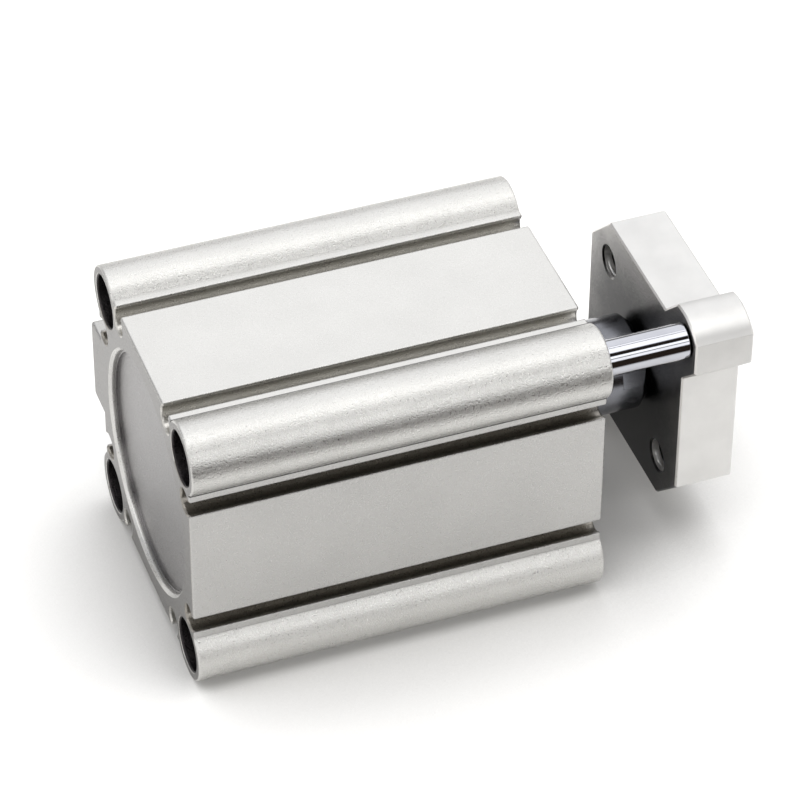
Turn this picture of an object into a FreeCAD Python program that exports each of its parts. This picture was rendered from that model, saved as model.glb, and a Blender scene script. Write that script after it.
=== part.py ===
"""Guided compact pneumatic cylinder, 40 mm bore and 30 mm stroke, as separate pieces.

Frame, in millimetres: the origin is the centre of the rear mounting face, on the cylinder's
axis. +X runs along the stroke towards the end plate, +Y towards the air ports, +Z up.
The pieces are placed with the rod fully in, which is the rest position of its slide.
"""
import FreeCAD, Part
import math
import os

from FreeCAD import Vector

# ------------------------------------------------------------------ driving dimensions
# Working sizes
STROKE = 30.0
END_GAP = 0.1               # left between a bumper and the cover that stops it
BORE_D = 40.0

# Body section
HOLE_SPACING = 40.0         # square pattern of the four corner holes
FLAT_OFFSET = 3.8           # from a corner hole's axis out to the body's flat
LUG_WALL = 1.55             # round corner lug about a counterbore
LEDGE = 1.35                # flat strip between a lug and the sensor groove beside it
GROOVE_WIDTH = 3.0
GROOVE_DEPTH = 4.4
GROOVE_ROUND_R = 2.2        # round floor of a groove, wider than its mouth
BOSS_RISE = 5.4             # port boss above its flat
BOSS_ABOVE = 8.9            # upper side of the boss, from the axis
BOSS_BELOW = 6.8            # lower side
BOSS_EDGE_R = 0.8
BODY_EDGE = 0.25            # chamfer round both end faces

# Corner holes
THROUGH_D = 5.5
COUNTERBORE_D = 9.0
COUNTERBORE_DEPTH = 7.0
HOLE_EDGE = 0.3

# Rear cover, held in its seat by the rolled lip of the tube
HEAD_STEP = 1.25            # seat of the cover outside the bore
LIP_OVERLAP = 1.15          # rolled lip over the cover's rim
LIP = 1.0
MOUTH_EDGE = 0.5
HEAD_SEAT_LENGTH = 5.0
HEAD_RIM_HEIGHT = 0.45
HEAD_RIM_WIDTH = 1.55
NOSE_GAP = 2.0              # air space round the nose of either cover
HEAD_NOSE_LENGTH = 2.0
HEAD_RING_START = 1.3       # from the cover's rim to its O-ring groove

# Front cover and its snap ring
COLLAR_STEP = 0.4           # seat of the collar outside the bore
COLLAR_SEAT_LENGTH = 9.6
COLLAR_NOSE_LENGTH = 2.5
COLLAR_RING_START = 1.6     # from the collar's shoulder to its O-ring groove
COLLAR_EDGE = 0.4
SNAP_RING_T = 1.75
SNAP_RING_BAND = 3.4        # radial width of the ring opposite its gap
SNAP_RING_TIP = 2.2         # radial width of the ring at its gap
SNAP_RING_GAP = 26.0        # opening between the ears, degrees
SNAP_EAR_R = 2.7
SNAP_EAR_HOLE_D = 2.5
SNAP_SLOT_DEPTH = 1.1
FRONT_MARGIN = 1.35         # tube left in front of the snap ring

# O-rings, as squeezed in their grooves
RING_GROOVE_WIDTH = 2.5
RING_GROOVE_DEPTH = 1.7

# Rod seal
ROD_SEAL_SECTION = 3.4
ROD_SEAL_WIDTH = 4.0
ROD_SEAL_SETBACK = 1.6      # from the collar's front face to the seal groove

# Piston, from the head side to the rod side
BUMPER_PROUD = 1.0
BUMPER_SUNK = 1.0
ROD_BUMPER_GAP = 2.0        # from the rod to the bumper round it
ROD_BUMPER_RIM = 4.75       # from that bumper to the piston's outer wall
HEAD_BUMPER_GAP = 4.8       # from the rivet head to the bumper round it
HEAD_BUMPER_RIM = 3.75
HOLDER_LENGTH = 4.5
MAGNET_LENGTH = 3.0
MAGNET_SETBACK = 1.35       # magnet inside the piston's outer wall
MAGNET_BAND = 5.0
PISTON_LENGTH = 6.5
SEAL_GROOVE_WIDTH = 3.8
SEAL_GROOVE_DEPTH = 3.6
WEAR_RING_WIDTH = 2.8
WEAR_RING_T = 1.6
PISTON_EDGE = 0.3

# Piston rod
ROD_D = 16.0
ROD_SPIGOT_D = 10.0
ROD_SUNK = 1.5              # rod shoulder let into the piston
RIVET_HEAD_D = 12.4
RIVET_HEAD_T = 1.3
ROD_FLAT_DEPTH = 1.0
ROD_FLAT_LENGTH = 4.9
ROD_FLAT_TURN = 54.0        # from the top, about the axis
ROD_PILOT_D = 9.0
ROD_PILOT_LENGTH = 1.6
ROD_EDGE = 1.4

# Guide rods and bushes
GUIDE_D = 6.0
GUIDE_EDGE = 0.6
GUIDE_SHOULDER = 0.5        # chamfer down to the spigot in the end plate
GUIDE_PASSAGE_PLAY = 0.5
BUSH_WALL = 1.5
BUSH_LENGTH = 20.0
BUSH_SETBACK = 0.3
GUIDE_SEAT = 2.0            # depth of the spigot in the end plate

# End plate
PLATE_GAP = 14.8            # from the body's front face to the plate, rod fully in
PLATE_WEB = 2.1             # left between the rod's pilot and its screw head
PLATE_INSET = 0.5           # side of the plate inside the square of the guide rods
PLATE_CORNER_CUT = 7.3
PLATE_LUG_REACH = 4.1       # flat side of a lug, from the guide rod's axis
PLATE_CROWN = 4.35          # crown of a lug, from the same axis
PLATE_CROWN_R = 8.3
PLATE_CROWN_INSET = 2.0     # middle of the crown nearer the plate's middle than the axis
PLATE_NOTCH_TOP = 4.2       # where a lug begins, from the guide rod's axis
PLATE_NOTCH_FOOT = 8.7      # where its foot meets the plate's side
PLATE_EDGE = 0.3
PLATE_HOLE_PCD = 33.0
PLATE_HOLE_D = 5.5

# Socket head screws: thread, head and hexagon
ROD_SCREW_D = 6.0
ROD_SCREW_LENGTH = 16.0
ROD_SCREW_HEAD_D = 10.0
ROD_SCREW_HEAD_H = 6.0
ROD_SCREW_HEX = 5.0
GUIDE_SCREW_D = 3.0
GUIDE_SCREW_LENGTH = 10.0
GUIDE_SCREW_HEAD_D = 5.5
GUIDE_SCREW_HEAD_H = 3.0
GUIDE_SCREW_HEX = 2.5
HEAD_SETBACK = 0.3          # screw head below the plate's front face

# Air ports
PORT_D = 8.6
PORT_DEPTH = 7.0
PORT_EDGE = 0.6
PASSAGE_D = 2.6
PASSAGE_MARGIN = 0.4        # from a cover's shoulder to the side of its passage

# Clearances, all radial
RUNNING_FIT = 0.04          # rod and guide rods in their bearings
SEAL_FIT = 0.05             # seals on what slides through them
PISTON_FIT = 0.25
SEAT_FIT = 0.02             # covers, bushes, rings and screws in their seats
SCREW_PLAY = 0.25           # screws in their clearance holes
HEAD_PLAY = 0.25            # screw heads in their counterbores
SIDE_PLAY = 0.05            # rings along their grooves

# ------------------------------------------------------------------ derived places
BORE_R = BORE_D / 2
HALF = HOLE_SPACING / 2
FLAT = HALF + FLAT_OFFSET
BOSS_TOP = FLAT + BOSS_RISE
LUG_R = COUNTERBORE_D / 2 + LUG_WALL
CREASE = HALF - math.sqrt(LUG_R ** 2 - FLAT_OFFSET ** 2)
GROOVE = CREASE - LEDGE - GROOVE_WIDTH / 2
HEAD_SEAT_R = BORE_R + HEAD_STEP
MOUTH_R = HEAD_SEAT_R - LIP_OVERLAP
COLLAR_SEAT_R = BORE_R + COLLAR_STEP
NOSE_R = BORE_R - NOSE_GAP
PISTON_R = BORE_R - PISTON_FIT
MAGNET_R = PISTON_R - MAGNET_SETBACK
ROD_BUMPER = (ROD_D / 2 + ROD_BUMPER_GAP, PISTON_R - ROD_BUMPER_RIM)    # inner and outer radius
HEAD_BUMPER = (RIVET_HEAD_D / 2 + HEAD_BUMPER_GAP, PISTON_R - HEAD_BUMPER_RIM)
BUSH_R = GUIDE_D / 2 + BUSH_WALL
GUIDE_SPIGOT_R = GUIDE_D / 2 - GUIDE_SHOULDER
PLATE_T = ROD_PILOT_LENGTH + PLATE_WEB + ROD_SCREW_HEAD_H + HEAD_SETBACK

HEAD_END = LIP + HEAD_SEAT_LENGTH
HEAD_FRONT = HEAD_END + HEAD_NOSE_LENGTH
HOLDER_REAR = HEAD_FRONT + END_GAP + BUMPER_PROUD
MAGNET_REAR = HOLDER_REAR + HOLDER_LENGTH
PISTON_REAR = MAGNET_REAR + MAGNET_LENGTH
PISTON_FRONT = PISTON_REAR + PISTON_LENGTH
COLLAR_REAR = PISTON_FRONT + BUMPER_PROUD + STROKE + END_GAP
COLLAR_SHOULDER = COLLAR_REAR + COLLAR_NOSE_LENGTH
COLLAR_FRONT = COLLAR_SHOULDER + COLLAR_SEAT_LENGTH
SNAP_SLOT_END = COLLAR_FRONT + SNAP_RING_T + 2 * SIDE_PLAY
BODY_LENGTH = SNAP_SLOT_END + FRONT_MARGIN
REAR_PORT_X = HEAD_END + PORT_D / 2
REAR_PASSAGE_X = HEAD_END + PASSAGE_MARGIN + PASSAGE_D / 2
FRONT_PORT_X = COLLAR_SHOULDER - PASSAGE_MARGIN - PASSAGE_D / 2

PLATE_BACK = BODY_LENGTH + PLATE_GAP
PLATE_FRONT = PLATE_BACK + PLATE_T
PLATE_SIDE = HALF - PLATE_INSET
GUIDE_REAR = BODY_LENGTH - BUSH_LENGTH - STROKE
GUIDE_FRONT = PLATE_BACK + GUIDE_SEAT
ROD_SCREW_SEAT = PLATE_FRONT - HEAD_SETBACK - ROD_SCREW_HEAD_H
GUIDE_SCREW_SEAT = PLATE_FRONT - HEAD_SETBACK - GUIDE_SCREW_HEAD_H
SNAP_SLOT_R = COLLAR_SEAT_R + SNAP_SLOT_DEPTH

# Corners of the hole square as (y, z): bolts go through two of them, guide rods run in two
BOLT_CORNERS = [(HALF, HALF), (-HALF, -HALF)]
UPPER_GUIDE = (-HALF, HALF)
LOWER_GUIDE = (HALF, -HALF)
AXIS = (0.0, 0.0)


# ------------------------------------------------------------------ building helpers
class Outline:
    """A closed outline of lines and arcs, drawn point by point and made into a face."""

    def __init__(self, start):
        self.start = start
        self.last = start
        self.edges = []

    def line(self, end):
        """Draw a straight line to end."""
        self.edges.append(Part.LineSegment(self.last, end).toShape())
        self.last = end

    def arc(self, middle, end):
        """Draw an arc through middle to end."""
        self.edges.append(Part.Arc(self.last, middle, end).toShape())
        self.last = end

    def face(self):
        """Close the outline with a line, unless it is closed already, and fill it."""
        if self.last.distanceToPoint(self.start) > 1e-6:
            self.line(self.start)
        return Part.Face(Part.Wire(self.edges))


def turned(points, centre=AXIS):
    """Revolve a closed profile of (x, radius) points about the X line through centre."""
    corners = [Vector(x, 0, radius) for x, radius in points]
    face = Part.Face(Part.makePolygon(corners + corners[:1]))
    solid = face.revolve(Vector(0, 0, 0), Vector(1, 0, 0), 360)
    solid.translate(Vector(0, *centre))
    return solid


def bar(start, end, radius, centre=AXIS, edge=0.0):
    """A round bar along X from start to end, with both ends chamfered by edge."""
    profile = [(start, 0), (start, radius - edge), (end, radius - edge), (end, 0)]
    if edge:
        profile[2:2] = [(start + edge, radius), (end - edge, radius)]
    return turned(profile, centre)


def ring(start, end, inner, outer, centre=AXIS, edge=0.0):
    """A plain ring along X, with its four edges chamfered by edge."""
    profile = [(start, inner + edge), (start, outer - edge), (end, outer - edge), (end, inner + edge)]
    if edge:
        profile[2:2] = [(start + edge, outer), (end - edge, outer)]
        profile += [(end - edge, inner), (start + edge, inner)]
    return turned(profile, centre)


def drilled(shape, start, end, radius, centre=AXIS, start_edge=0.0, end_edge=0.0):
    """Cut a hole along X from shape, with a chamfer at either end where one is given."""
    profile = [(start, 0), (start, radius + start_edge), (start + start_edge, radius),
               (end - end_edge, radius), (end, radius + end_edge), (end, 0)]
    kept = [point for point, following in zip(profile, profile[1:] + profile[:1]) if point != following]
    return shape.cut(turned(kept, centre))


def end_edges(shape):
    """The edges of shape that lie square to the X axis: the outlines of its two ends."""
    return [edge for edge in shape.Edges if edge.BoundBox.XLength < 1e-6]


def squeezed_ring(start, width, inner, outer):
    """A rubber O-ring flattened in its groove: flat on both seats, bulging at its sides."""
    middle = (inner + outer) / 2
    bulge = width / 5
    end = start + width
    return turned([(start + bulge, inner), (start, middle), (start + bulge, outer),
                   (end - bulge, outer), (end, middle), (end - bulge, inner)])


def socket_screw(seat, centre, thread_d, length, head_d, head_h, hexagon):
    """A socket head screw whose head seats at seat and points along +X."""
    edge = thread_d / 10
    profile = [(seat - length, 0), (seat - length, thread_d / 2 - edge),
               (seat - length + edge, thread_d / 2), (seat, thread_d / 2),
               (seat, head_d / 2), (seat + head_h - edge, head_d / 2),
               (seat + head_h, head_d / 2 - edge), (seat + head_h, 0)]
    corner = hexagon / math.sqrt(3)
    points = [Vector(0, corner * math.cos(math.radians(angle)), corner * math.sin(math.radians(angle)))
              for angle in range(0, 360, 60)]
    socket = Part.Face(Part.makePolygon(points + points[:1])).extrude(Vector(head_h / 2, 0, 0))
    socket.translate(Vector(seat + head_h / 2, *centre))
    return turned(profile, centre).cut(socket)


# ------------------------------------------------------------------ cylinder tube
def body_outline():
    """Section of the extruded body: four flats with grooves, four round lugs, one boss."""
    near = GROOVE - GROOVE_WIDTH / 2
    far = GROOVE + GROOVE_WIDTH / 2
    round_h = FLAT - GROOVE_DEPTH + GROOVE_ROUND_R
    wall_foot = round_h + math.sqrt(GROOVE_ROUND_R ** 2 - (GROOVE_WIDTH / 2) ** 2)
    lug_top = HALF + LUG_R / math.sqrt(2)
    edge_middle = BOSS_EDGE_R * (1 - 1 / math.sqrt(2))

    def place(side, along, out):
        """Turn a point given along and out from one of the four sides into the section."""
        angle = side * math.pi / 2
        return Vector(0, out * math.cos(angle) - along * math.sin(angle),
                      out * math.sin(angle) + along * math.cos(angle))

    outline = Outline(place(0, -CREASE, FLAT))
    for side in range(4):
        outline.line(place(side, -far, FLAT))
        outline.line(place(side, -far, wall_foot))
        outline.arc(place(side, -GROOVE, round_h - GROOVE_ROUND_R), place(side, -near, wall_foot))
        outline.line(place(side, -near, FLAT))
        if side == 0:
            outline.line(place(side, -BOSS_BELOW, FLAT))
            outline.line(place(side, -BOSS_BELOW, BOSS_TOP - BOSS_EDGE_R))
            outline.arc(place(side, edge_middle - BOSS_BELOW, BOSS_TOP - edge_middle),
                        place(side, BOSS_EDGE_R - BOSS_BELOW, BOSS_TOP))
            outline.line(place(side, BOSS_ABOVE - BOSS_EDGE_R, BOSS_TOP))
            outline.arc(place(side, BOSS_ABOVE - edge_middle, BOSS_TOP - edge_middle),
                        place(side, BOSS_ABOVE, BOSS_TOP - BOSS_EDGE_R))
            outline.line(place(side, BOSS_ABOVE, FLAT))
        outline.line(place(side, near, FLAT))
        outline.line(place(side, near, wall_foot))
        outline.arc(place(side, GROOVE, round_h - GROOVE_ROUND_R), place(side, far, wall_foot))
        outline.line(place(side, far, FLAT))
        outline.line(place(side, CREASE, FLAT))
        outline.arc(place(side, lug_top, lug_top), place(side + 1, -CREASE, FLAT))
    return outline.face()


def bore_cut():
    """Everything turned out of the tube's middle, from the rolled lip to the front mouth."""
    seat = COLLAR_SEAT_R
    return turned([
        (0, 0), (0, MOUTH_R + MOUTH_EDGE), (MOUTH_EDGE, MOUTH_R), (LIP, MOUTH_R),
        (LIP, HEAD_SEAT_R), (HEAD_END, HEAD_SEAT_R), (HEAD_END, BORE_R),
        (COLLAR_SHOULDER, BORE_R), (COLLAR_SHOULDER, seat), (COLLAR_FRONT, seat),
        (COLLAR_FRONT, SNAP_SLOT_R), (SNAP_SLOT_END, SNAP_SLOT_R), (SNAP_SLOT_END, seat),
        (BODY_LENGTH - MOUTH_EDGE, seat), (BODY_LENGTH, seat + MOUTH_EDGE), (BODY_LENGTH, 0)])


def port_cut(port_x, passage_x):
    """One air port: its tapped hole in the boss and the passage from its floor to the bore."""
    radius = PORT_D / 2
    floor = BOSS_TOP - PORT_DEPTH
    profile = [(floor, 0), (floor, radius), (BOSS_TOP - PORT_EDGE, radius),
               (BOSS_TOP, radius + PORT_EDGE), (BOSS_TOP, 0)]
    corners = [Vector(r, y, 0) for y, r in profile]
    hole = Part.Face(Part.makePolygon(corners + corners[:1])).revolve(Vector(0, 0, 0), Vector(0, 1, 0), 360)
    hole.translate(Vector(port_x, 0, 0))
    depth = floor - BORE_R / 2
    passage = Part.makeCylinder(PASSAGE_D / 2, depth, Vector(passage_x, BORE_R / 2, 0), Vector(0, 1, 0))
    return hole.fuse(passage)


def cylinder_tube():
    """The extruded and machined body."""
    tube = body_outline().extrude(Vector(BODY_LENGTH, 0, 0))
    tube = tube.makeChamfer(BODY_EDGE, end_edges(tube))
    tube = tube.cut(bore_cut())
    for corner in BOLT_CORNERS:
        tube = drilled(tube, 0, BODY_LENGTH, THROUGH_D / 2, corner)
        tube = drilled(tube, 0, COUNTERBORE_DEPTH, COUNTERBORE_D / 2, corner, start_edge=HOLE_EDGE)
        tube = drilled(tube, BODY_LENGTH - COUNTERBORE_DEPTH, BODY_LENGTH, COUNTERBORE_D / 2, corner,
                       end_edge=HOLE_EDGE)
    for corner in (UPPER_GUIDE, LOWER_GUIDE):
        tube = drilled(tube, 0, BODY_LENGTH, GUIDE_D / 2 + GUIDE_PASSAGE_PLAY, corner)
        tube = drilled(tube, 0, COUNTERBORE_DEPTH, COUNTERBORE_D / 2, corner, start_edge=HOLE_EDGE)
        tube = drilled(tube, BODY_LENGTH - BUSH_LENGTH - BUSH_SETBACK, BODY_LENGTH, BUSH_R, corner)
    tube = tube.cut(port_cut(REAR_PORT_X, REAR_PASSAGE_X))
    return tube.cut(port_cut(FRONT_PORT_X, FRONT_PORT_X))


# ------------------------------------------------------------------ rear cover
def head_cover():
    """The disc that closes the rear of the bore, with a low rim behind the rolled lip."""
    radius = HEAD_SEAT_R - SEAT_FIT
    rim = radius - HEAD_RIM_WIDTH
    groove = LIP + HEAD_RING_START
    return turned([
        (LIP + HEAD_RIM_HEIGHT, 0), (LIP + HEAD_RIM_HEIGHT, rim), (LIP, rim), (LIP, radius),
        (groove, radius), (groove, radius - RING_GROOVE_DEPTH),
        (groove + RING_GROOVE_WIDTH, radius - RING_GROOVE_DEPTH), (groove + RING_GROOVE_WIDTH, radius),
        (HEAD_END, radius), (HEAD_END, NOSE_R), (HEAD_FRONT, NOSE_R), (HEAD_FRONT, 0)])


def head_cover_gasket():
    """The O-ring round the rear cover."""
    return squeezed_ring(LIP + HEAD_RING_START + SIDE_PLAY, RING_GROOVE_WIDTH - 2 * SIDE_PLAY,
                         HEAD_SEAT_R - RING_GROOVE_DEPTH, HEAD_SEAT_R - SEAT_FIT)


# ------------------------------------------------------------------ front cover
def rod_cover():
    """The collar that carries the piston rod, seated on the step in the bore."""
    radius = COLLAR_SEAT_R - SEAT_FIT
    hole = ROD_D / 2 + RUNNING_FIT
    groove = COLLAR_SHOULDER + COLLAR_RING_START
    seal_end = COLLAR_FRONT - ROD_SEAL_SETBACK
    seal_r = ROD_D / 2 + ROD_SEAL_SECTION
    return turned([
        (COLLAR_REAR, hole), (COLLAR_REAR, NOSE_R),
        (COLLAR_SHOULDER, NOSE_R), (COLLAR_SHOULDER, radius), (groove, radius),
        (groove, radius - RING_GROOVE_DEPTH), (groove + RING_GROOVE_WIDTH, radius - RING_GROOVE_DEPTH),
        (groove + RING_GROOVE_WIDTH, radius), (COLLAR_FRONT - COLLAR_EDGE, radius),
        (COLLAR_FRONT, radius - COLLAR_EDGE), (COLLAR_FRONT, hole + 2 * COLLAR_EDGE),
        (COLLAR_FRONT - 2 * COLLAR_EDGE, hole), (seal_end, hole), (seal_end, seal_r),
        (seal_end - ROD_SEAL_WIDTH, seal_r), (seal_end - ROD_SEAL_WIDTH, hole)])


def rod_cover_gasket():
    """The O-ring round the collar."""
    return squeezed_ring(COLLAR_SHOULDER + COLLAR_RING_START + SIDE_PLAY,
                         RING_GROOVE_WIDTH - 2 * SIDE_PLAY,
                         COLLAR_SEAT_R - RING_GROOVE_DEPTH, COLLAR_SEAT_R - SEAT_FIT)


def rod_seal():
    """The lip seal on the piston rod, open towards the pressure side."""
    end = COLLAR_FRONT - ROD_SEAL_SETBACK - SIDE_PLAY
    start = end - ROD_SEAL_WIDTH + 2 * SIDE_PLAY
    inner = ROD_D / 2 + SEAL_FIT
    outer = ROD_D / 2 + ROD_SEAL_SECTION - SEAT_FIT
    middle = (inner + outer) / 2
    relief = (outer - inner) / 8
    return turned([
        (start, inner), (start, middle - relief), (start + ROD_SEAL_WIDTH / 2, middle),
        (start, middle + relief), (start, outer), (end, outer), (end, inner + relief),
        (start + relief, inner)])


def retaining_ring():
    """The internal snap ring: its inner edge is eccentric, and its two ears have holes."""
    outer = SNAP_SLOT_R - SEAT_FIT
    shift = (SNAP_RING_BAND - SNAP_RING_TIP) / 2
    inner = outer - (SNAP_RING_BAND + SNAP_RING_TIP) / 2
    start = COLLAR_FRONT + SIDE_PLAY
    end = start + SNAP_RING_T
    ear_angle = math.radians(SNAP_RING_GAP / 2)
    ear_ring = outer - SNAP_EAR_R - SNAP_SLOT_DEPTH
    ears = []
    band = bar(start, end, outer).cut(bar(start, end, inner, (0, -shift)))
    gap = Outline(Vector(start, 0, 0))
    reach = 2 * outer
    gap.line(Vector(start, reach * math.cos(ear_angle), reach * math.sin(ear_angle)))
    gap.line(Vector(start, reach * math.cos(ear_angle), -reach * math.sin(ear_angle)))
    opening = gap.face().extrude(Vector(SNAP_RING_T, 0, 0))
    opening.rotate(Vector(0, 0, 0), Vector(1, 0, 0), 90)
    ring_shape = band.cut(opening)
    for sign in (-1, 1):
        angle = math.pi / 2 + sign * (ear_angle + SNAP_EAR_R / outer)
        centre = (ear_ring * math.cos(angle), ear_ring * math.sin(angle))
        ears.append(centre)
        ring_shape = ring_shape.fuse(bar(start, end, SNAP_EAR_R, centre))
    for centre in ears:
        ring_shape = ring_shape.cut(bar(start, end, SNAP_EAR_HOLE_D / 2, centre))
    return ring_shape.removeSplitter()


# ------------------------------------------------------------------ guides
def guide_bush(centre):
    """A plain bearing bush pressed into a lug from the front."""
    end = BODY_LENGTH - BUSH_SETBACK
    return ring(end - BUSH_LENGTH, end, GUIDE_D / 2 + RUNNING_FIT, BUSH_R - SEAT_FIT, centre,
                edge=HOLE_EDGE)


def guide_rod(centre):
    """A ground guide rod with a spigot in the end plate, tapped for its screw."""
    radius = GUIDE_D / 2
    shape = turned([
        (GUIDE_REAR, 0), (GUIDE_REAR, radius - GUIDE_EDGE), (GUIDE_REAR + GUIDE_EDGE, radius),
        (PLATE_BACK - GUIDE_SHOULDER, radius), (PLATE_BACK, GUIDE_SPIGOT_R),
        (GUIDE_FRONT, GUIDE_SPIGOT_R), (GUIDE_FRONT, 0)], centre)
    tapped = GUIDE_SCREW_SEAT - GUIDE_SCREW_LENGTH - GUIDE_SCREW_D / 2
    return drilled(shape, tapped, GUIDE_FRONT, GUIDE_SCREW_D / 2 + SEAT_FIT, centre)


def guide_rod_screw(centre):
    """The screw that holds a guide rod to the end plate."""
    return socket_screw(GUIDE_SCREW_SEAT, centre, GUIDE_SCREW_D, GUIDE_SCREW_LENGTH,
                        GUIDE_SCREW_HEAD_D, GUIDE_SCREW_HEAD_H, GUIDE_SCREW_HEX)


# ------------------------------------------------------------------ piston
def piston():
    """The front half of the piston: seal groove, hub for the magnet and bumper recess."""
    hub = MAGNET_R - MAGNET_BAND - SEAT_FIT
    seal = (PISTON_REAR + PISTON_FRONT - SEAL_GROOVE_WIDTH) / 2
    floor = PISTON_R - SEAL_GROOVE_DEPTH
    spigot = ROD_SPIGOT_D / 2 + SEAT_FIT
    shoulder = ROD_D / 2 + SEAT_FIT
    recess = PISTON_FRONT - BUMPER_SUNK
    inner, outer = ROD_BUMPER
    return turned([
        (MAGNET_REAR, spigot), (MAGNET_REAR, hub), (PISTON_REAR, hub), (PISTON_REAR, PISTON_R),
        (seal, PISTON_R), (seal, floor), (seal + SEAL_GROOVE_WIDTH, floor),
        (seal + SEAL_GROOVE_WIDTH, PISTON_R), (PISTON_FRONT - PISTON_EDGE, PISTON_R),
        (PISTON_FRONT, PISTON_R - PISTON_EDGE), (PISTON_FRONT, outer + SEAT_FIT),
        (recess, outer + SEAT_FIT), (recess, inner - SEAT_FIT), (PISTON_FRONT, inner - SEAT_FIT),
        (PISTON_FRONT, shoulder), (PISTON_FRONT - ROD_SUNK, shoulder),
        (PISTON_FRONT - ROD_SUNK, spigot)])


def magnet_holder():
    """The rear half of the piston: wear ring groove, bumper recess and rivet recess."""
    groove = (HOLDER_REAR + MAGNET_REAR - WEAR_RING_WIDTH) / 2 - SIDE_PLAY
    groove_end = groove + WEAR_RING_WIDTH + 2 * SIDE_PLAY
    floor = BORE_R - SEAL_FIT - WEAR_RING_T - SEAT_FIT
    head = RIVET_HEAD_D / 2 + SEAT_FIT
    spigot = ROD_SPIGOT_D / 2 + SEAT_FIT
    rivet = HOLDER_REAR + HEAD_SETBACK + RIVET_HEAD_T
    recess = HOLDER_REAR + BUMPER_SUNK
    inner, outer = HEAD_BUMPER
    return turned([
        (HOLDER_REAR, head), (HOLDER_REAR, inner - SEAT_FIT), (recess, inner - SEAT_FIT),
        (recess, outer + SEAT_FIT), (HOLDER_REAR, outer + SEAT_FIT),
        (HOLDER_REAR, PISTON_R - PISTON_EDGE), (HOLDER_REAR + PISTON_EDGE, PISTON_R),
        (groove, PISTON_R), (groove, floor), (groove_end, floor), (groove_end, PISTON_R),
        (MAGNET_REAR, PISTON_R), (MAGNET_REAR, spigot), (rivet, spigot), (rivet, head)])


def magnet_ring():
    """The ring magnet between the two halves of the piston."""
    return ring(MAGNET_REAR, PISTON_REAR, MAGNET_R - MAGNET_BAND, MAGNET_R)


def piston_seal():
    """The double-lipped seal on the piston."""
    width = SEAL_GROOVE_WIDTH - 2 * SIDE_PLAY
    start = (PISTON_REAR + PISTON_FRONT - width) / 2
    end = start + width
    middle = (start + end) / 2
    outer = BORE_R - SEAL_FIT
    inner = PISTON_R - SEAL_GROOVE_DEPTH + SEAT_FIT
    waist = outer - width / 4
    return turned([
        (start, inner), (start, waist), (start + width / 6, outer), (start + width / 3, outer),
        (middle, waist), (end - width / 3, outer), (end - width / 6, outer), (end, waist), (end, inner)])


def wear_ring():
    """The guide band on the rear half of the piston."""
    start = (HOLDER_REAR + MAGNET_REAR - WEAR_RING_WIDTH) / 2
    outer = BORE_R - SEAL_FIT
    return ring(start, start + WEAR_RING_WIDTH, outer - WEAR_RING_T, outer)


def bumper(face, radii, outward):
    """A soft stop ring let into a piston face, outward being -1 to the rear and 1 to the front."""
    ends = sorted((face - outward * BUMPER_SUNK, face + outward * BUMPER_PROUD))
    return ring(*ends, *radii)


# ------------------------------------------------------------------ piston rod and end plate
def piston_rod():
    """The rod: rivet head and spigot in the piston, wrench flats and pilot at the plate."""
    rear = HOLDER_REAR + HEAD_SETBACK
    spigot = ROD_SPIGOT_D / 2
    shoulder = PISTON_FRONT - ROD_SUNK
    radius = ROD_D / 2
    pilot = PLATE_BACK + ROD_PILOT_LENGTH
    shape = turned([
        (rear, 0), (rear, RIVET_HEAD_D / 2), (rear + RIVET_HEAD_T, RIVET_HEAD_D / 2),
        (rear + RIVET_HEAD_T, spigot), (shoulder, spigot), (shoulder, radius),
        (PLATE_BACK - ROD_EDGE, radius), (PLATE_BACK, radius - ROD_EDGE), (PLATE_BACK, ROD_PILOT_D / 2),
        (pilot, ROD_PILOT_D / 2), (pilot, 0)])
    tapped = ROD_SCREW_SEAT - ROD_SCREW_LENGTH - ROD_SCREW_D / 2
    shape = drilled(shape, tapped, pilot, ROD_SCREW_D / 2 + SEAT_FIT)
    for turn in (ROD_FLAT_TURN, ROD_FLAT_TURN + 180):
        slab = Part.makeBox(ROD_FLAT_LENGTH, ROD_D, ROD_D,
                            Vector(PLATE_BACK - ROD_FLAT_LENGTH, -radius, radius - ROD_FLAT_DEPTH))
        slab.rotate(Vector(0, 0, 0), Vector(1, 0, 0), turn)
        shape = shape.cut(slab)
    return shape


def plate_outline():
    """The end plate seen along X: a square with two cut corners and two guide rod lugs."""
    side = PLATE_SIDE
    cut = side - PLATE_CORNER_CUT
    reach = HALF + PLATE_LUG_REACH
    top = HALF - PLATE_NOTCH_TOP
    foot = HALF - PLATE_NOTCH_FOOT
    crown = HALF - PLATE_CROWN_INSET

    def on_crown(across):
        """A point of a lug's crown, this far across from the plate's middle."""
        rise = math.sqrt(PLATE_CROWN_R ** 2 - (across - crown) ** 2)
        return across, HALF + PLATE_CROWN - PLATE_CROWN_R + rise

    start, peak, corner = on_crown(top), on_crown((top + reach) / 2), on_crown(reach)
    outline = Outline(Vector(0, side, cut))
    for sign in (1, -1):
        def place(across, height):
            return Vector(0, -sign * across, sign * height)
        outline.line(place(-cut, side))
        outline.line(place(foot, side))
        outline.line(place(*start))
        outline.arc(place(*peak), place(*corner))
        outline.line(place(reach, top))
        outline.line(place(side, foot))
        outline.line(place(side, -cut))
    return outline.face()


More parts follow.
